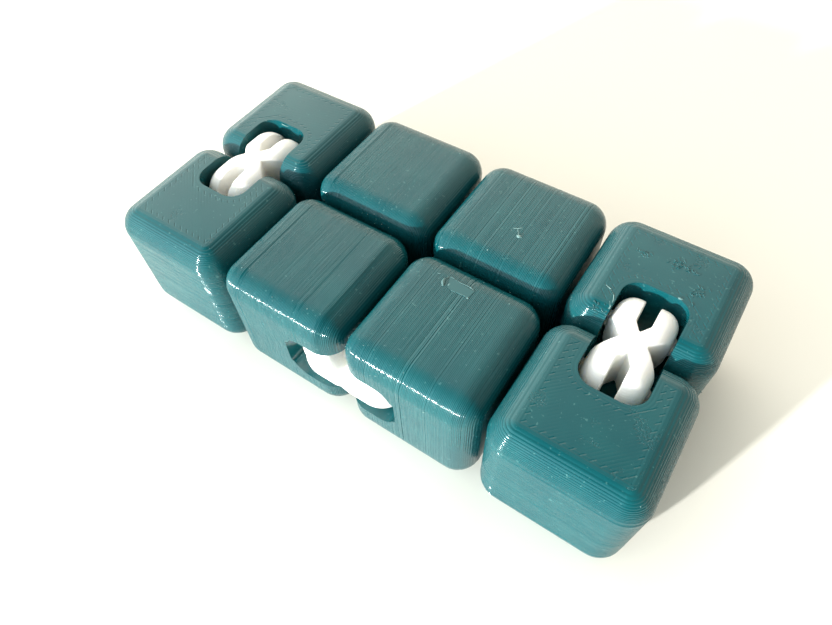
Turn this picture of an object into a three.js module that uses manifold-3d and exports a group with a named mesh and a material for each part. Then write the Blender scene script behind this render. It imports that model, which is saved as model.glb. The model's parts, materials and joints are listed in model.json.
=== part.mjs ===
// Folding fidget cube: eight printed cubes joined in one loop by eight snap-in links, laid out flat
// as a block four cubes long and two cubes deep. Millimetres, +Z up, +X along the block's length and
// +Y from the front row to the back row. The origin is the middle of the underside.
//
// Every joint is a double hinge. A link has two round ends, and each end turns about its own pins in a
// pocket that is open to the two faces meeting at a cube's edge. The link can point straight out of
// either face, so each end turns through 90 degrees and the two cubes fold through 180 degrees.

import * as THREE from "three";
import { RoundedBoxGeometry } from "three/addons/geometries/RoundedBoxGeometry.js";
import { mergeVertices } from "three/addons/utils/BufferGeometryUtils.js";
import Module from "manifold-3d";

// Driving dimensions.
const CUBE = 20; // edge length of one cube
const EDGE_RADIUS = 3.5; // rounding of every cube edge
const GAP = 0.65; // between neighbouring cubes, flat or folded
const PIVOT_DEPTH = 4; // from a pin's axis to each of the two faces beside it
const LOBE_RADIUS = 3.9; // round end of a link, about its pins
const LOBE_WIDTH = 8.2; // along the pins, without them
const LOBE_ROUNDING = 2.4; // of the round end's two rims
const POCKET_CLEARANCE = 0.4; // around a round end
const SIDE_CLEARANCE = 0.25; // between a link's side and the pocket's side
const POCKET_ROUNDING = 2.5; // of the pocket's inner rims
const PIN_RADIUS = 1.2;
const PIN_HEIGHT = 0.8; // above the link's side
const PIN_CLEARANCE = 0.3; // of the dimple around a pin
const SLOT_WIDTH = 2; // splits each round end into two arms that flex together to snap in
const SLOT_TIP = 1.5; // from the link's middle to the slot's point
const SLOT_TAPER = 1.5; // length of the slot's pointed end
const NOTCH_TIP = 1.65; // from the link's middle line to the bottom of a side notch
const NOTCH_HALF_HEIGHT = 2.8; // at the link's side

// Sizes that follow from them.
const PITCH = CUBE + GAP;
const PIVOT_TO_EDGE = PIVOT_DEPTH + GAP / 2; // from a pin's axis to the middle of the gap
const LINK_LENGTH = 2 * (PIVOT_TO_EDGE + LOBE_RADIUS);
const POCKET_RADIUS = LOBE_RADIUS + POCKET_CLEARANCE;
const POCKET_WIDTH = LOBE_WIDTH + 2 * SIDE_CLEARANCE;
const COLUMNS = 4;

// Fineness.
const ARC_STEPS = 6; // steps in a quarter turn
const RIM_STEPS = 2; // steps in the rounding of a rim
const EDGE_STEPS = 3; // steps in the rounding of a cube edge

// Colours.
const TEAL = new THREE.MeshStandardMaterial({ color: 0x0e5a60, roughness: 0.38, metalness: 0 });
const WHITE = new THREE.MeshStandardMaterial({ color: 0xf2f0ea, roughness: 0.45, metalness: 0 });

const wasm = await Module();
wasm.setup();

const X = new THREE.Vector3(1, 0, 0);
const Y = new THREE.Vector3(0, 1, 0);
const Z = new THREE.Vector3(0, 0, 1);

// A three.js geometry as a solid that can be joined and cut.
function solidOf(geometry) {
  const bare = geometry.clone();
  bare.deleteAttribute("normal");
  bare.deleteAttribute("uv");
  const merged = mergeVertices(bare, 1e-4);
  const index = Array.from(merged.index.array);
  const triangles = [];
  for (let i = 0; i < index.length; i += 3) {
    const [a, b, c] = index.slice(i, i + 3);
    if (a !== b && b !== c && c !== a) triangles.push(a, b, c);
  }
  return new wasm.Manifold(
    new wasm.Mesh({
      numProp: 3,
      vertProperties: new Float32Array(merged.attributes.position.array),
      triVerts: new Uint32Array(triangles),
    }),
  );
}

// A solid as a three.js geometry.
function geometryOf(solid) {
  const mesh = solid.getMesh();
  const geometry = new THREE.BufferGeometry();
  geometry.setAttribute("position", new THREE.BufferAttribute(mesh.vertProperties, mesh.numProp));
  geometry.setIndex(new THREE.BufferAttribute(mesh.triVerts, 1));
  return geometry;
}

// A closed skin over rings that all have the same number of points, with its first and last ring capped.
// The rings are convex and run anticlockwise when seen from the last ring's side.
function loft(rings) {
  const count = rings[0].length;
  const last = (rings.length - 1) * count;
  const index = [];
  for (let r = 0; r < rings.length - 1; r++) {
    for (let i = 0; i < count; i++) {
      const here = r * count + i;
      const next = r * count + ((i + 1) % count);
      index.push(here, next, next + count, here, next + count, here + count);
    }
  }
  for (let i = 1; i < count - 1; i++) {
    index.push(0, i + 1, i);
    index.push(last, last + i, last + i + 1);
  }
  const geometry = new THREE.BufferGeometry().setFromPoints(rings.flat());
  geometry.setIndex(index);
  return geometry;
}

// Points on an arc about the X axis, from one angle to another in degrees, at a given x.
function arc(x, radius, centreY, from, to, steps) {
  const points = [];
  for (let i = 0; i <= steps; i++) {
    const angle = THREE.MathUtils.degToRad(from + ((to - from) * i) / steps);
    points.push(new THREE.Vector3(x, centreY + radius * Math.cos(angle), radius * Math.sin(angle)));
  }
  return points;
}

// The half profile of a drum with rounded rims, as [x, radius] from its low end to its high end.
function drumProfile(width, radius, rounding) {
  const rim = [];
  for (let i = 0; i <= RIM_STEPS; i++) {
    const angle = ((Math.PI / 2) * i) / RIM_STEPS;
    const x = width / 2 - rounding + rounding * Math.cos(angle);
    rim.push([x, radius - rounding + rounding * Math.sin(angle)]);
  }
  return [...rim.map(([x, r]) => [-x, r]), ...rim.reverse()];
}

// A pin along the X axis with domed ends that stand past both sides of a given width.
function pin(width, radius, height) {
  const profile = [new THREE.Vector2(0, -width / 2 - height)];
  for (let i = 1; i <= RIM_STEPS; i++) {
    const angle = ((Math.PI / 2) * i) / RIM_STEPS;
    profile.push(new THREE.Vector2(radius * Math.sin(angle), -width / 2 - height * Math.cos(angle)));
  }
  const mirrored = profile.map((p) => new THREE.Vector2(p.x, -p.y)).reverse();
  const geometry = new THREE.LatheGeometry([...profile, ...mirrored], 2 * ARC_STEPS);
  return geometry.rotateZ(-Math.PI / 2);
}

// The space that a link's end needs: its pins' axis is the X axis and the faces lie towards +Y and +Z.
// It follows the round end, runs out of both faces, and has a dimple for each pin.
function pocket() {
  const far = PIVOT_DEPTH + GAP + EDGE_RADIUS;
  const rings = drumProfile(POCKET_WIDTH, POCKET_RADIUS, POCKET_ROUNDING).map(([x, radius]) => [
    new THREE.Vector3(x, far, far),
    new THREE.Vector3(x, -radius, far),
    ...arc(x, radius, 0, 180, 270, ARC_STEPS),
    new THREE.Vector3(x, far, -radius),
  ]);
  const dimples = pin(POCKET_WIDTH, PIN_RADIUS + PIN_CLEARANCE, PIN_HEIGHT);
  return solidOf(loft(rings)).add(solidOf(dimples));
}

// The slot that splits one end of a link into two arms, as seen along the link's thickness.
function slotOutline() {
  const half = SLOT_WIDTH / 2;
  const wide = SLOT_TIP + SLOT_TAPER;
  return [[0, SLOT_TIP], [half, wide], [half, LINK_LENGTH], [-half, LINK_LENGTH], [-half, wide]];
}

// The notch in one side of a link, seen the same way.
function notchOutline() {
  const slope = NOTCH_HALF_HEIGHT / (LOBE_WIDTH / 2 - NOTCH_TIP);
  const mouth = (LOBE_WIDTH - NOTCH_TIP) * slope;
  return [[NOTCH_TIP, 0], [LOBE_WIDTH, -mouth], [LOBE_WIDTH, mouth]];
}

// An outline pushed right through a link's thickness. A side of -1 turns it to the link's other side.
function cutter(outline, side) {
  const shape = new THREE.Shape(outline.map(([x, y]) => new THREE.Vector2(side * x, side * y)));
  const depth = 3 * LOBE_RADIUS;
  const geometry = new THREE.ExtrudeGeometry(shape, { depth, bevelEnabled: false });
  return solidOf(geometry.translate(0, 0, -depth / 2));
}

// One link: pins along X, its two ends at -Y and +Y, and its middle at the origin. openEnd names the end
// (-1 or 1) that carries no pins, or 0 where both ends do.
function link(openEnd) {
  const rings = drumProfile(LOBE_WIDTH, LOBE_RADIUS, LOBE_ROUNDING).map(([x, radius]) => [
    ...arc(x, radius, PIVOT_TO_EDGE, -90, 90, 2 * ARC_STEPS),
    ...arc(x, radius, -PIVOT_TO_EDGE, 90, 270, 2 * ARC_STEPS),
  ]);
  let solid = solidOf(loft(rings));
  for (const side of [-1, 1]) {
    if (side !== openEnd) {
      const pins = pin(LOBE_WIDTH, PIN_RADIUS, PIN_HEIGHT).translate(0, side * PIVOT_TO_EDGE, 0);
      solid = solid.add(solidOf(pins));
    }
    solid = solid.subtract(cutter(slotOutline(), side)).subtract(cutter(notchOutline(), side));
  }
  return geometryOf(solid);
}

// The turn that carries +X to the pins' axis and +Y and +Z to the two faces, whichever way round is
// right-handed: pockets and links are the same seen from either side.
function turnTo(axis, first, second) {
  const handed = new THREE.Vector3().crossVectors(first, second).dot(axis) > 0;
  return new THREE.Matrix4().makeBasis(axis, handed ? first : second, handed ? second : first);
}

const POCKET = pocket();

// One cube with a pocket at each of its hinged edges, centred on the origin. An edge is [axis, towards
// one face, towards the other face].
function cube(edges) {
  let solid = solidOf(new RoundedBoxGeometry(CUBE, CUBE, CUBE, EDGE_STEPS, EDGE_RADIUS));
  const inset = CUBE / 2 - PIVOT_DEPTH;
  for (const [axis, first, second] of edges) {
    const place = turnTo(axis, first, second);
    place.setPosition(new THREE.Vector3().addScaledVector(first, inset).addScaledVector(second, inset));
    solid = solid.subtract(solidOf(geometryOf(POCKET).applyMatrix4(place)));
  }
  return geometryOf(solid);
}

const model = new THREE.Group();

function add(name, geometry, material, position) {
  const mesh = new THREE.Mesh(geometry, material);
  mesh.name = name;
  mesh.position.copy(position);
  model.add(mesh);
  return mesh;
}

// The cubes. Column 1 is at the left end, and outward points from a row to its own long side.
const signed = (direction, sign) => direction.clone().multiplyScalar(sign);
const columnX = (column) => (column - (COLUMNS + 1) / 2) * PITCH;
const ROWS = [["front", -1], ["back", 1]];
for (const [row, outward] of ROWS) {
  for (let column = 1; column <= COLUMNS; column++) {
    const atEnd = column === 1 || column === COLUMNS;
    const towardsMiddle = column <= COLUMNS / 2 ? 1 : -1;
    // The underside hinge joins columns 1 and 2, and columns 3 and 4.
    const underside = [Y, signed(X, atEnd ? towardsMiddle : -towardsMiddle), signed(Z, -1)];
    // End cubes hinge along the top to the other row. Middle cubes hinge along an upright edge of the
    // long side to the other half of their own row.
    const other = atEnd ? [X, signed(Y, -outward), Z] : [Z, signed(X, towardsMiddle), signed(Y, outward)];
    const place = new THREE.Vector3(columnX(column), (outward * PITCH) / 2, CUBE / 2);
    add(`${row}_cube_${column}`, cube([underside, other]), TEAL, place);
  }
}

// The links. Each is [name, pins' axis, direction of its length, place of its middle, end without pins].
const pivotHigh = CUBE - PIVOT_DEPTH;
const longSide = PITCH - PIVOT_TO_EDGE;
const links = [];
for (const [end, sign] of [["left", -1], ["right", 1]]) {
  links.push([`${end}_end_link`, X, Y, new THREE.Vector3(sign * columnX(COLUMNS), 0, pivotHigh), 0]);
  for (const [row, outward] of ROWS) {
    const place = new THREE.Vector3(sign * PITCH, (outward * PITCH) / 2, PIVOT_DEPTH);
    links.push([`${row}_${end}_link`, Y, X, place, 0]);
  }
}
links.push(["front_middle_link", Z, X, new THREE.Vector3(0, -longSide, CUBE / 2), 0]);
// The loop is opened where this link meets the third back cube, so that end has no pins.
links.push(["back_middle_link", Z, X, new THREE.Vector3(0, longSide, CUBE / 2), 1]);

for (const [name, axis, length, place, openEnd] of links) {
  const mesh = add(name, link(openEnd), WHITE, place);
  const upright = new THREE.Vector3().crossVectors(axis, length);
  mesh.quaternion.setFromRotationMatrix(new THREE.Matrix4().makeBasis(axis, length, upright));
}

export default model;
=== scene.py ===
# Looks of the folding fidget cube: eight teal 3D-printed cubes and the eight white links that join them.
# Lengths are in millimetres until to_metres() places a mesh in the frame.

import json
import math

import bpy
import numpy as np
from mathutils import Matrix, Vector

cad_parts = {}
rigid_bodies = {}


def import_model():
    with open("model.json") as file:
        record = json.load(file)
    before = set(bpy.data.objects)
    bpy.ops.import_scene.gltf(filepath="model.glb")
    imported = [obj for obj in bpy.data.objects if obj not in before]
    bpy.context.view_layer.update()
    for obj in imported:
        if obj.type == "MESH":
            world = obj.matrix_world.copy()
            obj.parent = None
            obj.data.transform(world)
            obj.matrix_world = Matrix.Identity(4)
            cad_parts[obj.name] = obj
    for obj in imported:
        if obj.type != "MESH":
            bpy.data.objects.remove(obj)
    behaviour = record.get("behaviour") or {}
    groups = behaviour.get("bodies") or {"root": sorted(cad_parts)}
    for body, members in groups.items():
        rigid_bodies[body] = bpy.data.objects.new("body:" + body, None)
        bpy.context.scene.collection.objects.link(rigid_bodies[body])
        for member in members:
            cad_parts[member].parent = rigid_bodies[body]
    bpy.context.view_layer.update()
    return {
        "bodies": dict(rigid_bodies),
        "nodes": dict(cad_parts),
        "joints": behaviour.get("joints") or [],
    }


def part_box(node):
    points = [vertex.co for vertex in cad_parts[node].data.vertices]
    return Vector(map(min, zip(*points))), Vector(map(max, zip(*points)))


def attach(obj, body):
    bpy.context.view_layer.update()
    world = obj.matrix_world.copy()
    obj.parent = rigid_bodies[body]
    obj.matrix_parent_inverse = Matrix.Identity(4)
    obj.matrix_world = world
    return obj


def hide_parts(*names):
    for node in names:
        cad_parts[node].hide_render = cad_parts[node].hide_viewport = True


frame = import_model()

MM = 0.001

# The printed cube.
CUBE = 20.0
HALF = CUBE / 2
EDGE_RADIUS = 3.5
CORNER_STEPS = 12  # edges round a quarter turn of a layer's outline
LAYER = 0.2
GROOVE = 0.016  # depth of the line between two layers
GROOVE_SHARE = 0.16  # how much of a layer's height it takes up above, and again below
STEPPING = 0.08  # how far each layer keeps its own outline on the rounded edges: 0 is smooth, 1 is a stair
SKIN_STEPPING = 0.3  # the same for the outermost layers, whose edges show as lines round the skin
SKIN_DEPTH = 0.9  # how deep below the skin that has faded out
PIVOT_DEPTH = 4.0  # from a pivot to the two faces beside it
POCKET_RADIUS = 4.3
POCKET_WIDTH = 8.7
POCKET_ROUNDING = 2.5
POCKET_END = HALF - PIVOT_DEPTH - POCKET_RADIUS  # from a cube's middle to the end of a pocket
CHANNEL_WIDTH = 5.2  # a squarer groove round the middle of the pocket's wall
CHANNEL_RADIUS = 4.75
CHANNEL_ROUNDING = 0.5
POCKET_STEPS = 24  # edges round a quarter turn of a pocket's wall
RIM_STEPS = 8  # and round its rims, and over a pin's dome
PIN_STEPS = 24  # edges round a pin

# The cubes' shading relief.
LINE_WIDTH = 0.42  # one extruded line, as seen on a cube's first and last layer
TURN_PITCH = LINE_WIDTH * math.sqrt(2)  # how far apart the diagonal fill's lines meet the border
BORDER_LINES = 2.5  # how many of them run round the outline before the diagonal fill
CUBE_BUMP = 0.009  # the height that one unit of the relief stands for
PIT_DEPTH = 5.0  # in those units, as is the next
TORN_DEPTH = 4.0
PIT_REACH = 0.26  # how far a pit reaches to both sides of the border
GRAIN_STEP = 41.3  # how far apart in the noise two neighbouring pieces' marks are taken

# Stray plastic, and layers drawn in unevenly.
SPECKS = 42  # lumps on each cube
SPECK_SEED = 100  # for the first cube, and one more for each of the others
STRAY_SIDES = 6  # sides of a lump or a string
SPECK_FLOOR = 1.0  # none of them below this height
DRAWN_IN = 0.006  # typical amount by which a layer is drawn in
STRONG_SHARE = 0.07  # share of the layers drawn in further, so that they show as lines
STRONG_RANGE = (0.012, 0.034)  # and by how much
UPRIGHT_UNEVENNESS = 0.45  # these amounts on the cubes printed upright, as a share of those on the others

# The printed link.
LOBE_RADIUS = 3.9
LOBE_WIDTH = 8.2
LOBE_ROUNDING = 2.4
SEAM_TO_PIVOT = 4.325
PIN_RADIUS = 1.2
PIN_HEIGHT = 0.8
PIN_TIP = 10  # degrees from a pin's axis at which its dome ends in a small flat
PIN_CLEARANCE = 0.3  # between a pin and the dimple that it turns in
SLOT_WIDTH = 2.0
SLOT_TIP = 1.5  # from the link's middle to the point of the slot at each end
SLOT_TAPER = 1.5  # how far from its point it has its full width
NOTCH_TIP = 1.65  # from the link's middle to the point of the notch in each side
NOTCH_HALF_HEIGHT = 2.8  # half its opening at the link's side
VOXEL = 0.1  # the link's mesh is resampled at this size, so that its edges soften
SOFTENING = 22  # passes of smoothing after that
LOBE_STEPS = 48  # edges round a half turn of a link's end
LOBE_RIM_STEPS = 12  # and over its rounded rims
LINK_BUMP = 0.008  # the height that one unit of its shading relief stands for

FLOOR_REACH = 4.0  # metres from the middle of the floor to its edges
SHARP_ANGLE = 50  # degrees between two faces above which the edge between them shows as sharp

X, Y, Z = Vector((1, 0, 0)), Vector((0, 1, 0)), Vector((0, 0, 1))


# ---------------------------------------------------------------- mesh tools


def new_mesh(name, points, faces):
    mesh = bpy.data.meshes.new(name)
    mesh.from_pydata([tuple(p) for p in points], [], faces)
    mesh.validate()
    return mesh


def new_object(name, mesh):
    obj = bpy.data.objects.new(name, mesh)
    bpy.context.scene.collection.objects.link(obj)
    return obj


def loft(rings):
    """A closed skin over rings with equal numbers of points, capped at both ends."""
    count = len(rings[0])
    points = [p for ring in rings for p in ring]
    faces = [tuple(reversed(range(count)))]
    for r in range(len(rings) - 1):
        for i in range(count):
            j = (i + 1) % count
            faces.append((r * count + i, r * count + j, (r + 1) * count + j, (r + 1) * count + i))
    faces.append(tuple((len(rings) - 1) * count + i for i in range(count)))
    return points, faces


def arc(centre, radius, start, end, steps):
    """Points (a, b) on a circular arc, angles in degrees."""
    angles = np.radians(np.linspace(start, end, steps + 1))
    return [(centre[0] + radius * math.cos(t), centre[1] + radius * math.sin(t)) for t in angles]


def circle(radius, steps):
    """The corners of a regular polygon with that many sides."""
    return arc((0, 0), radius, 0, 360 - 360 / steps, steps - 1)


def evaluated(obj):
    """The mesh of obj with its modifiers applied. obj itself is removed."""
    graph = bpy.context.evaluated_depsgraph_get()
    mesh = bpy.data.meshes.new_from_object(obj.evaluated_get(graph))
    bpy.data.objects.remove(obj)
    return mesh


def combine(mesh, tools, operation):
    """mesh joined with or cut by each mesh of tools."""
    obj = new_object("work", mesh)
    helpers = []
    for tool in tools:
        helper = new_object("tool", tool)
        modifier = obj.modifiers.new("combine", "BOOLEAN")
        modifier.operation = operation
        modifier.solver = "EXACT"
        modifier.object = helper
        helpers.append(helper)
    result = evaluated(obj)
    for helper in helpers:
        bpy.data.objects.remove(helper)
    return result


def arrays(mesh):
    """The mesh's points as an array and its faces as index lists."""
    points = np.empty(len(mesh.vertices) * 3)
    mesh.vertices.foreach_get("co", points)
    return points.reshape(-1, 3), [tuple(f.vertices) for f in mesh.polygons]


def drum_profile(width, radius, rounding, steps):
    """(x, radius) from one flat side of a drum to the other, over its rounded rims."""
    rim = arc((width / 2 - rounding, radius - rounding), rounding, 0, 90, steps)
    return [(-x, r) for x, r in rim] + list(reversed(rim))


# ---------------------------------------------------------------- the cube


def square_outline(half, corner, steps):
    """A square with round corners, anticlockwise."""
    middle = half - corner
    outline = []
    for quarter, (sx, sy) in enumerate([(1, 1), (-1, 1), (-1, -1), (1, -1)]):
        outline += arc((sx * middle, sy * middle), corner, 90 * quarter, 90 * quarter + 90, steps)
    return outline


def inset_at(z):
    """How far the rounded cube's outline has drawn in at height z."""
    rise = max(0.0, EDGE_RADIUS - (HALF - abs(z)))
    return EDGE_RADIUS - math.sqrt(EDGE_RADIUS**2 - rise**2)


def layered_block():
    """The rounded cube as a stack of printed layers, each with a slightly bulging side."""
    rings = []
    for k in range(round(CUBE / LAYER)):
        low = -HALF + k * LAYER
        own_inset = inset_at(low + LAYER / 2)
        depth = HALF - abs(low + LAYER / 2)
        stepping = STEPPING + (SKIN_STEPPING - STEPPING) * max(0.0, 1 - depth / SKIN_DEPTH)
        for share, extra in ((0, GROOVE), (GROOVE_SHARE, 0), (1 - GROOVE_SHARE, 0), (1, GROOVE)):
            z = low + share * LAYER
            inset = stepping * own_inset + (1 - stepping) * inset_at(z)
            outline = square_outline(HALF - inset - extra, max(EDGE_RADIUS - inset, 0.05), CORNER_STEPS)
            rings.append([(x, y, z) for x, y in outline])
    return new_mesh("block", *loft(rings))


def pocket_tool(width, radius, rounding):
    """The space round a link's end: its pins' axis is X, and it runs out of the faces towards +Y and +Z."""
    far = 2 * PIVOT_DEPTH
    rings = []
    for x, r in drum_profile(width, radius, rounding, RIM_STEPS):
        side = [(far, far), (-r, far), *arc((0, 0), r, 180, 270, POCKET_STEPS), (far, -r)]
        rings.append([(x, a, b) for a, b in side])
    return new_mesh("pocket", *loft(rings))


def pin_tool(y, width, radius):
    """A pair of pins, as domes on both flat sides of something that wide, with their axis along X."""
    rim = [(width / 2 + PIN_HEIGHT * a, radius * b) for a, b in arc((0, 0), 1.0, PIN_TIP, 90, RIM_STEPS)]
    rings = []
    for x, r in [(-x, r) for x, r in rim] + list(reversed(rim)):
        rings.append([(x, y + a, b) for a, b in circle(r, PIN_STEPS)])
    return new_mesh("pin", *loft(rings))


def printed_cube():
    """One cube in its own print frame, where its layers stack along Z. The first pocket opens to +Z and +Y
    with its pins along X, and the second to -Z and +X with its pins along Y. Each pin has a dimple."""
    inset = HALF - PIVOT_DEPTH
    first = Matrix.Translation((0, inset, inset))
    second = Matrix(((0, 1, 0, inset), (1, 0, 0, 0), (0, 0, -1, -inset), (0, 0, 0, 1)))
    pocket = (POCKET_WIDTH, POCKET_RADIUS, POCKET_ROUNDING)
    channel = (CHANNEL_WIDTH, CHANNEL_RADIUS, CHANNEL_ROUNDING)
    tools = []
    for place, shapes in ((first, (pocket,)), (second, (pocket, channel))):
        here = [pocket_tool(*shape) for shape in shapes]
        here.append(pin_tool(0, POCKET_WIDTH, PIN_RADIUS + PIN_CLEARANCE))
        for tool in here:
            tool.transform(place)
        tools += here
    return arrays(combine(layered_block(), tools, "DIFFERENCE"))


# ---------------------------------------------------------------- the link


def prism(outline):
    depth = 2 * LOBE_RADIUS
    return new_mesh("prism", *loft([[(x, y, z) for x, y in outline] for z in (-depth, depth)]))


def printed_link(pinned_ends):
    """One link: its pins' axes lie along X, its length along Y and its thickness along Z."""
    rings = []
    for x, r in drum_profile(LOBE_WIDTH, LOBE_RADIUS, LOBE_ROUNDING, LOBE_RIM_STEPS):
        side = arc((SEAM_TO_PIVOT, 0), r, -90, 90, LOBE_STEPS)
        side += arc((-SEAM_TO_PIVOT, 0), r, 90, 270, LOBE_STEPS)
        rings.append([(x, a, b) for a, b in side])
    pins = [pin_tool(sign * SEAM_TO_PIVOT, LOBE_WIDTH, PIN_RADIUS) for sign in pinned_ends]
    body = combine(new_mesh("body", *loft(rings)), pins, "UNION")
    far = SEAM_TO_PIVOT + 2 * LOBE_RADIUS
    half = SLOT_WIDTH / 2
    taper = SLOT_TIP + SLOT_TAPER
    slot = [(0, SLOT_TIP), (half, taper), (half, far), (-half, far), (-half, taper)]
    rise = NOTCH_HALF_HEIGHT / (LOBE_WIDTH / 2 - NOTCH_TIP)
    reach = LOBE_WIDTH
    notch = [(NOTCH_TIP, 0), (reach, (NOTCH_TIP - reach) * rise), (reach, (reach - NOTCH_TIP) * rise)]
    cuts = []
    for sign in (1, -1):
        for outline in (slot, notch):
            cuts.append(prism([(sign * x, sign * y) for x, y in outline]))
    work = new_object("link", combine(body, cuts, "DIFFERENCE"))
    remesh = work.modifiers.new("resample", "REMESH")
    remesh.mode = "VOXEL"
    remesh.voxel_size = VOXEL
    soften = work.modifiers.new("soften", "SMOOTH")
    soften.factor = 0.5
    soften.iterations = SOFTENING
    return arrays(evaluated(work))


# ---------------------------------------------------------------- places, from the frame


def box_middle(node):
    low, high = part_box(node)
    return (Vector(low) + Vector(high)) / 2 / MM


def pivots():
    """For each body, the (place, axis) of every pivot that it turns on, in millimetres."""
    found = {body: [] for body in frame["bodies"]}
    for joint in frame["joints"]:
        pivot = (Vector(joint["pos_m"]) / MM, Vector(joint["axis"]))
        found[joint["parent"]].append(pivot)
        found[joint["child"]].append(pivot)
    # The loop is open at one pivot, which is the mirror image of the same link's other one.
    place, axis = found["back_middle_link"][0]
    found["back_cube_3"].append((Vector((-place.x, place.y, place.z)), axis))
    return found


def nearest_axis(v):
    return max((s * a for a in (X, Y, Z) for s in (1, -1)), key=v.dot)


def cube_frame(middle, ends):
    """The columns of a cube's print frame, from its two pivots."""
    (first, first_axis), (second, second_axis) = ends
    layers = nearest_axis(first_axis.cross(second_axis))
    if layers.dot(first - middle) < 0:
        layers = -layers
    outward_first = first - middle
    outward_first -= layers * layers.dot(outward_first)
    outward_second = second - middle
    outward_second -= layers * layers.dot(outward_second)
    return nearest_axis(outward_second), nearest_axis(outward_first), layers


def to_metres(name, points, faces, columns, middle, number, pale=None):
    """The mesh object of a piece, from its own frame into the row frame. Its own coordinates are kept for
    its material, and again shifted by its number, so that no two pieces wear the same marks. pale is how
    pale each point is: stray plastic is paler than the rest, and on one lump by a pocket the paleness is a
    painted highlight."""
    basis = np.array([list(c) for c in columns]).T
    placed = (points @ basis.T + np.array(middle)) * MM
    if np.linalg.det(basis) < 0:
        faces = [tuple(reversed(f)) for f in faces]
    mesh = new_mesh(name, placed, faces)
    for label, values in (("own", points), ("grain", points + number * GRAIN_STEP)):
        attribute = mesh.attributes.new(label, "FLOAT_VECTOR", "POINT")
        attribute.data.foreach_set("vector", values.astype(np.float32).ravel())
    if pale is not None:
        mesh.attributes.new("pale", "FLOAT", "POINT").data.foreach_set("value", pale.astype(np.float32))
    for polygon in mesh.polygons:
        polygon.use_smooth = True
    mesh.set_sharp_from_angle(angle=math.radians(SHARP_ANGLE))
    return new_object(name, mesh)


# ---------------------------------------------------------------- materials


class Nodes:
    """Short calls for a material's nodes."""

    def __init__(self, name):
        self.material = bpy.data.materials.new(name)
        self.material.use_nodes = True
        self.tree = self.material.node_tree
        self.shader = self.tree.nodes["Principled BSDF"]

    def add(self, kind, **settings):
        node = self.tree.nodes.new(kind)
        for key, value in settings.items():
            setattr(node, key, value)
        return node

    def feed(self, socket, value):
        if isinstance(value, bpy.types.NodeSocket):
            self.tree.links.new(value, socket)
        elif value is not None:
            socket.default_value = value

    def math(self, operation, a, b=None):
        node = self.add("ShaderNodeMath", operation=operation)
        for socket, value in zip(node.inputs, (a, b)):
            self.feed(socket, value)
        return node.outputs[0]

    def length(self, vector):
        node = self.add("ShaderNodeVectorMath", operation="LENGTH")
        self.feed(node.inputs[0], vector)
        return node.outputs["Value"]

    def split(self, vector):
        node = self.add("ShaderNodeSeparateXYZ")
        self.feed(node.inputs[0], vector)
        return node.outputs

    def join(self, x, y, z):
        node = self.add("ShaderNodeCombineXYZ")
        for socket, value in zip(node.inputs, (x, y, z)):
            self.feed(socket, value)
        return node.outputs[0]

    def noise(self, vector, scale, detail=2.0, roughness=0.5):
        node = self.add("ShaderNodeTexNoise")
        self.feed(node.inputs["Vector"], vector)
        self.feed(node.inputs["Scale"], scale)
        self.feed(node.inputs["Detail"], detail)
        self.feed(node.inputs["Roughness"], roughness)
        return node.outputs[0]

    def ramp(self, value, low, high, to_low=0.0, to_high=1.0):
        node = self.add("ShaderNodeMapRange", interpolation_type="SMOOTHSTEP")
        for socket, v in zip(node.inputs, (value, low, high, to_low, to_high)):
            self.feed(socket, v)
        return node.outputs[0]

    def mix_colour(self, share, a, b):
        node = self.add("ShaderNodeMix", data_type="RGBA")
        self.feed(node.inputs["Factor"], share)
        self.feed(node.inputs["A"], a)
        self.feed(node.inputs["B"], b)
        return node.outputs["Result"]

    def mix(self, share, a, b):
        node = self.add("ShaderNodeMix", data_type="FLOAT")
        self.feed(node.inputs["Factor"], share)
        self.feed(node.inputs["A"], a)
        self.feed(node.inputs["B"], b)
        return node.outputs["Result"]

    def stored(self, label, output="Vector"):
        return self.add("ShaderNodeAttribute", attribute_name=label).outputs[output]

    def bump(self, height, distance):
        node = self.add("ShaderNodeBump")
        self.feed(node.inputs["Height"], height)
        self.feed(node.inputs["Distance"], distance)
        return node.outputs[0]

    def wave(self, value, period):
        """0 to 1 to 0 over each period, round on top and sharp below, as neighbouring printed lines are."""
        return self.math("ABSOLUTE", self.math("SINE", self.math("MULTIPLY", value, math.pi / period)))

    def outline_distance(self, x, y, half_x, half_y, corner):
        """How far (x, y) lies inside a rectangle with round corners centred on 0."""
        qx = self.math("SUBTRACT", self.math("ABSOLUTE", x), half_x - corner)
        qy = self.math("SUBTRACT", self.math("ABSOLUTE", y), half_y - corner)
        past_x, past_y = self.math("MAXIMUM", qx, 0.0), self.math("MAXIMUM", qy, 0.0)
        outer = self.length(self.join(past_x, past_y, 0.0))
        inner = self.math("MINIMUM", self.math("MAXIMUM", qx, qy), 0.0)
        return self.math("SUBTRACT", corner, self.math("ADD", outer, inner))


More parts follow.
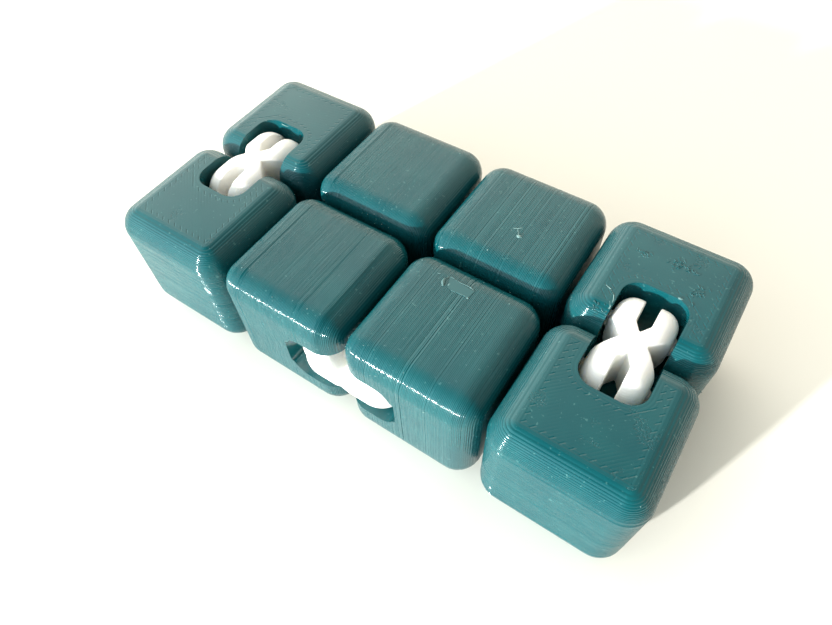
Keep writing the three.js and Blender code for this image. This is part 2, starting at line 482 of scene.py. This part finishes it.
def top_skin(n, x, y, grain, across, along):
    """The relief of a cube's first or last layer: lines round its outline and pocket, and diagonal fill.
    across is the coordinate along the pocket's width, and along is the one towards its opening."""
    last_inset = inset_at(HALF - LAYER / 2)
    half = HALF - last_inset
    edge = n.outline_distance(x, y, half, half, EDGE_RADIUS - last_inset)
    # The pocket runs out past the cube's edge, so its outline is centred on the edge.
    centred = n.math("SUBTRACT", along, HALF)
    half_width, half_length = POCKET_WIDTH / 2, HALF - POCKET_END
    inside_pocket = n.outline_distance(across, centred, half_width, half_length, POCKET_ROUNDING)
    to_edge = n.math("MINIMUM", edge, n.math("MULTIPLY", inside_pocket, -1.0))
    loops = n.wave(to_edge, LINE_WIDTH)
    fill = n.wave(n.math("ADD", x, y), TURN_PITCH)
    is_fill = n.ramp(to_edge, BORDER_LINES * LINE_WIDTH, (BORDER_LINES + 0.3) * LINE_WIDTH)
    patchy = n.ramp(n.noise(grain, 0.22, 3.0, 0.6), 0.46, 0.66, 0.12, 0.75)
    # Where a fill line turns back at the border it leaves a small pit, every second line.
    off_border = n.math("ABSOLUTE", n.math("SUBTRACT", to_edge, BORDER_LINES * LINE_WIDTH))
    near_border = n.math("LESS_THAN", off_border, PIT_REACH)
    every_second = n.ramp(n.wave(n.math("ADD", x, y), 2 * TURN_PITCH), 0.0, 0.55, -PIT_DEPTH, 0.0)
    pits = n.math("MULTIPLY", near_border, every_second)
    # Rough patches, where the fill pulled apart.
    where = n.ramp(n.noise(grain, 0.30, 2.0, 0.5), 0.60, 0.67)
    torn = n.math("MULTIPLY", where, n.ramp(n.noise(grain, 3.4, 2.0, 0.6), 0.50, 0.60, 0.0, -TORN_DEPTH))
    lines = n.mix(is_fill, loops, n.math("MULTIPLY", fill, patchy))
    return n.math("ADD", n.math("ADD", lines, pits), torn)


def teal_plastic():
    n = Nodes("teal_print")
    own, grain = n.stored("own"), n.stored("grain")
    x, y, z = n.split(own)
    gx, gy, gz = n.split(grain)
    # Layer lines wander a little and some stand out, which streaks the sides.
    flat = n.join(n.math("MULTIPLY", gx, 0.05), n.math("MULTIPLY", gy, 0.05), gz)
    streak = n.noise(flat, 2.6, 3.0, 0.7)
    layers = n.math("MULTIPLY", n.wave(z, LAYER), n.ramp(streak, 0.35, 0.7, 0.2, 2.0))
    at_top = n.math("GREATER_THAN", z, HALF - LAYER / 4)
    at_bottom = n.math("LESS_THAN", z, LAYER / 4 - HALF)
    skin = n.mix(at_top, top_skin(n, x, y, grain, y, x), top_skin(n, x, y, grain, x, y))
    on_skin = n.math("MAXIMUM", at_top, at_bottom)
    height = n.mix(on_skin, layers, skin)
    fine = n.noise(grain, 9.0, 3.0, 0.6)
    height = n.math("ADD", height, n.math("MULTIPLY", fine, 0.3))
    # Stray plastic has no layer lines of its own.
    pale = n.stored("pale", "Fac")
    height = n.math("MULTIPLY", height, n.ramp(pale, 0.0, 0.1, 1.0, 0.0))
    n.feed(n.shader.inputs["Normal"], n.bump(height, CUBE_BUMP * MM))
    cloud = n.ramp(n.noise(grain, 0.18, 3.0), 0.3, 0.7)
    colour = n.mix_colour(cloud, (0.0025, 0.068, 0.080, 1), (0.0045, 0.080, 0.090, 1))
    # Scuffed specks and rubbed layer lines are paler.
    speck = n.ramp(n.noise(grain, 1.7, 2.0, 0.6), 0.67, 0.71, 0.0, 0.6)
    worn = n.ramp(n.noise(grain, 3.2, 4.0, 0.7), 0.60, 0.8, 0.0, 0.5)
    rubbed = n.math("MULTIPLY", worn, n.ramp(streak, 0.45, 0.75))
    colour = n.mix_colour(n.math("MAXIMUM", speck, rubbed), colour, (0.06, 0.18, 0.18, 1))
    # Stray plastic is paler. On one lump on a pocket's far wall, that paleness is a painted highlight.
    colour = n.mix_colour(n.math("MULTIPLY", pale, 0.75), colour, (0.30, 0.46, 0.44, 1))
    n.feed(n.shader.inputs["Base Color"], colour)
    rough = n.ramp(n.noise(grain, 0.7, 3.0), 0.3, 0.7, 0.12, 0.17)
    n.feed(n.shader.inputs["Roughness"], n.math("ADD", rough, n.math("MULTIPLY", on_skin, 0.18)))
    n.shader.inputs["IOR"].default_value = 1.46
    n.shader.inputs["Specular Tint"].default_value = (0.85, 0.98, 0.97, 1)
    return n.material


def white_plastic():
    n = Nodes("white_print")
    grain = n.stored("grain")
    _, _, z = n.split(n.stored("own"))
    fine = n.noise(grain, 5.0, 3.0, 0.6)
    height = n.math("ADD", n.wave(z, LAYER), n.math("MULTIPLY", fine, 0.6))
    n.feed(n.shader.inputs["Normal"], n.bump(height, LINK_BUMP * MM))
    cloud = n.ramp(n.noise(grain, 0.5, 3.0), 0.3, 0.7)
    n.feed(n.shader.inputs["Base Color"], n.mix_colour(cloud, (0.97, 0.94, 0.88, 1), (0.99, 0.97, 0.92, 1)))
    n.feed(n.shader.inputs["Roughness"], n.ramp(n.noise(grain, 1.1, 3.0), 0.3, 0.7, 0.36, 0.50))
    n.shader.inputs["Specular IOR Level"].default_value = 0.3
    n.shader.inputs["Subsurface Weight"].default_value = 0.6
    n.shader.inputs["Subsurface Radius"].default_value = (1.0, 0.95, 0.85)
    n.shader.inputs["Subsurface Scale"].default_value = 2.2 * MM
    return n.material


# ---------------------------------------------------------------- stray plastic


def blob(centre, reach, turn):
    """A small closed lump: reach holds its three half-sizes, turn is a rotation matrix."""
    rings = []
    for lift in (-0.85, -0.3, 0.3, 0.85):
        wide = math.sqrt(1 - lift**2)
        rings.append([(wide * a, wide * b, lift) for a, b in circle(1.0, STRAY_SIDES)])
    points, faces = loft(rings)
    return np.array(points) * reach @ np.array(turn).T + centre, faces


def thread(route, radius):
    """A fine string of plastic along a list of points."""
    rings = []
    route = [Vector(p) for p in route]
    for k, p in enumerate(route):
        along = (route[min(k + 1, len(route) - 1)] - route[max(k - 1, 0)]).normalized()
        side = along.orthogonal().normalized()
        other = along.cross(side)
        thin = radius * (0.5 if k in (0, len(route) - 1) else 1.0)
        rings.append([p + thin * (a * side + b * other) for a, b in circle(1.0, STRAY_SIDES)])
    points, faces = loft(rings)
    return np.array([list(p) for p in points]), faces


def joined(meshes):
    """Several (points, faces) as one."""
    points, faces = [], []
    for part_points, part_faces in meshes:
        start = sum(len(p) for p in points)
        points.append(part_points)
        faces += [tuple(start + i for i in face) for face in part_faces]
    return np.vstack(points), faces


def specks(points, heights, rng):
    """Lumps on a cube's outer skin, clear of its pockets and of the face that it rests on."""
    outer = np.abs(points).max(axis=1) > HALF - EDGE_RADIUS * (1 - math.sqrt(0.5))
    places = points[outer & (heights > SPECK_FLOOR)]
    lumps = []
    for index in rng.choice(len(places), SPECKS, replace=False):
        turn = Vector(rng.normal(size=3)).to_track_quat("Z", "Y").to_matrix()
        reach = rng.uniform(0.03, 0.085) * np.array([1.0, rng.uniform(0.6, 1.2), rng.uniform(1.0, 1.9)])
        lumps.append((*blob(places[index], reach, turn), rng.uniform(0.3, 1.0)))
    return lumps


def skin_point(middle, x, y):
    """The point of a cube's upper skin that is (x, y) from the cube's middle."""
    flat = HALF - EDGE_RADIUS
    out = math.hypot(max(abs(x) - flat, 0), max(abs(y) - flat, 0))
    return middle + Vector((x, y, flat + math.sqrt(max(EDGE_RADIUS**2 - out**2, 0))))


def laid(middle, radius, pale, *route):
    """A string of plastic that lies on a cube's upper skin along a route of (x, y)."""
    return (*thread([skin_point(middle, x, y) for x, y in route], radius), pale)


def dab(middle, x, y, reach, pale):
    """A lump of plastic on a cube's upper skin."""
    return (*blob(skin_point(middle, x, y), reach, Matrix.Identity(3)), pale)


def flecks(middle, centre, spread, count, rng):
    """Slivers over a patch of a cube's upper skin, where the diagonal fill pulled apart."""
    lumps = []
    for _ in range(count):
        x, y = rng.normal(centre, spread)
        turn = Matrix.Rotation(math.radians(45 * rng.choice((-1, 1)) + rng.normal(0, 8)), 3, "Z")
        reach = (rng.uniform(0.12, 0.42), rng.uniform(0.05, 0.09), 0.08)
        lumps.append((*blob(skin_point(middle, x, y), reach, turn), rng.uniform(0.0, 0.15)))
    return lumps


def star(middle):
    """A caught tuft on a top face: a lump, and a stem that ends in a cross bar."""
    return [
        dab(middle, 1.05, -3.15, (0.34, 0.30, 0.18), 0.75),
        laid(middle, 0.07, 0.8, (0.95, -3.0), (0.35, -2.1)),
        laid(middle, 0.06, 0.9, (-0.36, -2.2), (0.26, -1.97), (0.72, -1.52)),
        laid(middle, 0.08, 0.5, (1.1, -3.2), (1.55, -3.2)),
    ]


def scar(middle):
    """A smeared patch on a top face: a smooth raised plate with pale welts along its sides."""
    corners = ((-3.15, 6.5), (-2.4, 4.85), (0.53, 4.9), (0.75, 6.2))
    points, faces = loft([[(*corner, HALF + lift) for corner in corners] for lift in (-0.1, 0.035)])
    return [
        (np.array(points) + np.array(middle), faces, 0.11),
        laid(middle, 0.07, 0.45, (-3.4, 6.0), (-3.35, 6.35), (-3.1, 6.6), (-2.5, 6.6)),
        laid(middle, 0.06, 0.35, (-2.5, 6.55), (-1.4, 6.45), (-0.6, 6.5), (0.1, 6.5), (0.7, 6.2)),
        laid(middle, 0.08, 0.8, (-0.3, 6.5), (0.15, 6.45)),
        laid(middle, 0.035, 0.35, (-2.6, 5.6), (-2.4, 4.85), (-1.9, 4.8), (-1.3, 4.88)),
        laid(middle, 0.06, 0.3, (-1.2, 4.85), (-0.2, 4.95), (0.5, 4.9)),
        dab(middle, 0.53, 4.85, (0.15, 0.13, 0.07), 0.7),
        dab(middle, -2.6, 5.45, (0.16, 0.32, 0.05), 0.45),
        laid(middle, 0.26, 0.36, (-3.65, 5.95), (-3.5, 5.4), (-3.15, 4.8)),
        laid(middle, 0.08, 0.5, (-4.95, 6.25), (-4.5, 6.35)),
        laid(middle, 0.07, 0.4, (-4.35, 5.3), (-4.2, 5.7)),
    ]


def rough_pocket(middle):
    """Strings by a pocket's left rim, flecks on the rounded edge beside it, three torn patches, and a pale
    lump on the pocket's far wall whose paleness is a painted highlight.
    """
    rng = np.random.default_rng(4)
    rim = ((-6.3, -4.5), (-5.5, -4.8), (-4.85, -5.4), (-4.55, -6.2), (-4.45, -7.4), (-4.5, -8.6))
    return [
        laid(middle, 0.05, 1.0, *rim),
        laid(middle, 0.05, 0.8, (-4.9, -6.6), (-4.5, -7.3), (-4.7, -8.3)),
        # A lump on the pocket's far wall, made pale as a painted highlight.
        dab(middle, 2.4, -1.6, (0.35, 0.16, 0.12), 0.5),
        *flecks(middle, (-5.8, -8.1), (0.55, 0.45), 26, rng),
        *flecks(middle, (-4.4, 3.2), (0.7, 0.22), 16, rng),
        *flecks(middle, (0.8, 3.6), (1.1, 0.5), 46, rng),
        *flecks(middle, (3.9, 0.2), (0.45, 0.8), 24, rng),
    ]


def pocket_string(middle):
    """One loose string in the mouth of a pocket."""
    start = middle + Vector((-1.6, -POCKET_END, HALF - 0.25))
    bow = Vector((0, -0.45, 0.15))
    route = [start, start + Vector((0.4, 0, 0)) + 0.7 * bow, start + Vector((1.1, 0.1, -0.1)) + 0.7 * bow]
    return [(*thread([*route, start + Vector((1.5, 0.1, -0.1))], 0.05), 1.0)]


MARKS = {
    "back_cube_1": pocket_string,
    "back_cube_3": star,
    "back_cube_4": rough_pocket,
    "front_cube_3": scar,
}


def marks_of(name, columns, middle):
    """The larger stray plastic of some cubes, in the cube's own print frame."""
    own = np.array([list(c) for c in columns])
    mirrored = np.linalg.det(own) < 0
    made = MARKS[name](middle) if name in MARKS else ()
    lumps = []
    for points, faces, pale in made:
        if mirrored:
            faces = [tuple(reversed(face)) for face in faces]
        lumps.append(((points - np.array(middle)) @ own.T, faces, pale))
    return lumps


# ---------------------------------------------------------------- pieces


def uneven_layers(points, seed, unevenness):
    """points with each layer of a cube drawn in a little, as a printer leaves them."""
    rng = np.random.default_rng(seed)
    count = round(CUBE / LAYER)
    shift = unevenness * rng.normal(0, DRAWN_IN, count)
    strong = rng.random(count) < STRONG_SHARE
    shift[strong] -= unevenness * rng.uniform(*STRONG_RANGE, strong.sum())
    # A point on the border of two layers goes with the upper one.
    layer = np.clip(np.floor((points[:, 2] + HALF) / LAYER + 1e-4).astype(int), 0, count - 1)
    moved = points.copy()
    moved[:, :2] *= (1 - np.abs(shift[layer]) / HALF)[:, None]
    return moved


def add_cubes(material):
    points, faces = printed_cube()
    ends = pivots()
    for number, name in enumerate(sorted(n for n in frame["nodes"] if "cube" in n)):
        middle = box_middle(name)
        # The channelled pocket is the one below at the ends, and the one at mid height elsewhere.
        order = sorted(ends[name], key=lambda end: (-abs(end[0].z - middle.z), -end[0].z))
        columns = cube_frame(middle, order)
        # The end cubes, printed upright, came out smoother.
        upright = abs(columns[2].z) > 0.5
        layered = uneven_layers(points, number, UPRIGHT_UNEVENNESS if upright else 1.0)
        heights = layered @ np.array([column.z for column in columns]) + middle.z
        lumps = specks(layered, heights, np.random.default_rng(SPECK_SEED + number))
        lumps += marks_of(name, columns, middle)
        bare = [lump[:2] for lump in lumps]
        pale = np.concatenate([np.zeros(len(layered))] + [np.full(len(lump[0]), lump[2]) for lump in lumps])
        whole = joined([(layered, faces), *bare])
        piece = to_metres(f"{name}_print", *whole, columns, middle, number, pale)
        piece.data.materials.append(material)
        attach(piece, name)
        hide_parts(name)


def add_links(material):
    whole = printed_link((1, -1))
    open_ended = printed_link((-1,))
    ends = pivots()
    for number, name in enumerate(sorted(n for n in frame["nodes"] if "link" in n)):
        places = ends[name]
        axis = nearest_axis(places[0][1])
        if len(places) == 2:
            middle = (places[0][0] + places[1][0]) / 2
            length = nearest_axis(places[1][0] - places[0][0])
            points, faces = whole
        else:
            length = X
            middle = places[0][0] + SEAM_TO_PIVOT * X
            points, faces = open_ended
        columns = (axis, length, axis.cross(length))
        piece = to_metres(f"{name}_print", points, faces, columns, middle, number)
        piece.data.materials.append(material)
        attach(piece, name)
        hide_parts(name)


# ---------------------------------------------------------------- floor, light and camera


def add_floor():
    """A flat floor at height 0, in metres."""
    corners = [(x * FLOOR_REACH, y * FLOOR_REACH, 0) for x, y in ((-1, -1), (1, -1), (1, 1), (-1, 1))]
    floor = new_object("floor", new_mesh("floor", corners, [(0, 1, 2, 3)]))
    n = Nodes("floor")
    n.shader.inputs["Base Color"].default_value = (0.93, 0.90, 0.82, 1)
    n.shader.inputs["Roughness"].default_value = 0.7
    floor.data.materials.append(n.material)


def add_light(name, towards, distance, size, power, colour):
    """An area light of (width, height), distance metres from the origin on the side towards points to."""
    data = bpy.data.lights.new(name, "AREA")
    data.shape = "RECTANGLE"
    data.size, data.size_y = size
    data.energy = power
    data.color = colour
    light = bpy.data.objects.new(name, data)
    light.location = Vector(towards).normalized() * distance
    light.rotation_euler = Vector(towards).to_track_quat("Z", "Y").to_euler()
    bpy.context.scene.collection.objects.link(light)


def add_world():
    """A pale room: darker overhead and in front, brighter behind and at the left, with a window's glow."""
    world = bpy.data.worlds.new("room")
    world.use_nodes = True
    nodes, links = world.node_tree.nodes, world.node_tree.links
    direction = nodes.new("ShaderNodeTexCoord").outputs["Generated"]

    def patch(middle, edge, full, level_outside, level_inside, colour):
        """Light whose level changes towards one direction, between two cosines of the angle from it."""
        dot = nodes.new("ShaderNodeVectorMath")
        dot.operation = "DOT_PRODUCT"
        links.new(direction, dot.inputs[0])
        dot.inputs[1].default_value = Vector(middle).normalized()
        fade = nodes.new("ShaderNodeMapRange")
        fade.interpolation_type = "SMOOTHSTEP"
        links.new(dot.outputs["Value"], fade.inputs["Value"])
        for socket, value in zip(list(fade.inputs)[1:5], (edge, full, level_outside, level_inside)):
            socket.default_value = value
        background = nodes.new("ShaderNodeBackground")
        background.inputs["Color"].default_value = (*colour, 1)
        links.new(fade.outputs[0], background.inputs["Strength"])
        return background.outputs[0]

    walls = patch((0.15, -0.62, 0.77), -0.05, 0.86, 1.12, 0.16, (1.0, 0.93, 0.80))
    bright_wall = patch((-0.55, 0.74, 0.36), 0.45, 0.97, 0.0, 1.4, (1.0, 0.95, 0.84))
    left_wall = patch((-0.93, -0.10, 0.36), 0.45, 0.95, 0.0, 1.2, (0.95, 0.98, 0.95))
    window_glow = patch((-0.30, -0.94, 0.40), 0.72, 0.96, 0.0, 2.1, (0.66, 0.88, 1.0))
    total = walls
    for more in (bright_wall, left_wall, window_glow):
        both = nodes.new("ShaderNodeAddShader")
        links.new(total, both.inputs[0])
        links.new(more, both.inputs[1])
        total = both.outputs[0]
    links.new(total, nodes["World Output"].inputs["Surface"])
    nodes.remove(nodes["Background"])
    bpy.context.scene.world = world


def add_camera():
    """The photo's view: place is in metres, and right and up are the directions of the picture's sides."""
    data = bpy.data.cameras.new("camera")
    data.lens = 26.3
    data.sensor_width = 36
    data.clip_start = 0.005
    camera = bpy.data.objects.new("camera", data)
    place = Vector((0.0321, -0.0457, 0.0828))
    right = Vector((0.8316, 0.5546, -0.0305))
    up = Vector((-0.4428, 0.6951, 0.5663))
    back = right.cross(up)
    turn = Matrix((right, up, back)).transposed()
    camera.matrix_world = Matrix.Translation(place) @ turn.to_4x4()
    bpy.context.scene.collection.objects.link(camera)
    bpy.context.scene.camera = camera


add_cubes(teal_plastic())
add_links(white_plastic())
add_floor()
add_world()
add_light(
    "low_window",
    towards=(-0.34, -0.94, 0.205),
    distance=1.0,
    size=(0.035, 0.035),
    power=26,
    colour=(1.0, 1.0, 0.97),
)
add_camera()
bpy.context.scene.view_settings.view_transform = "Standard"
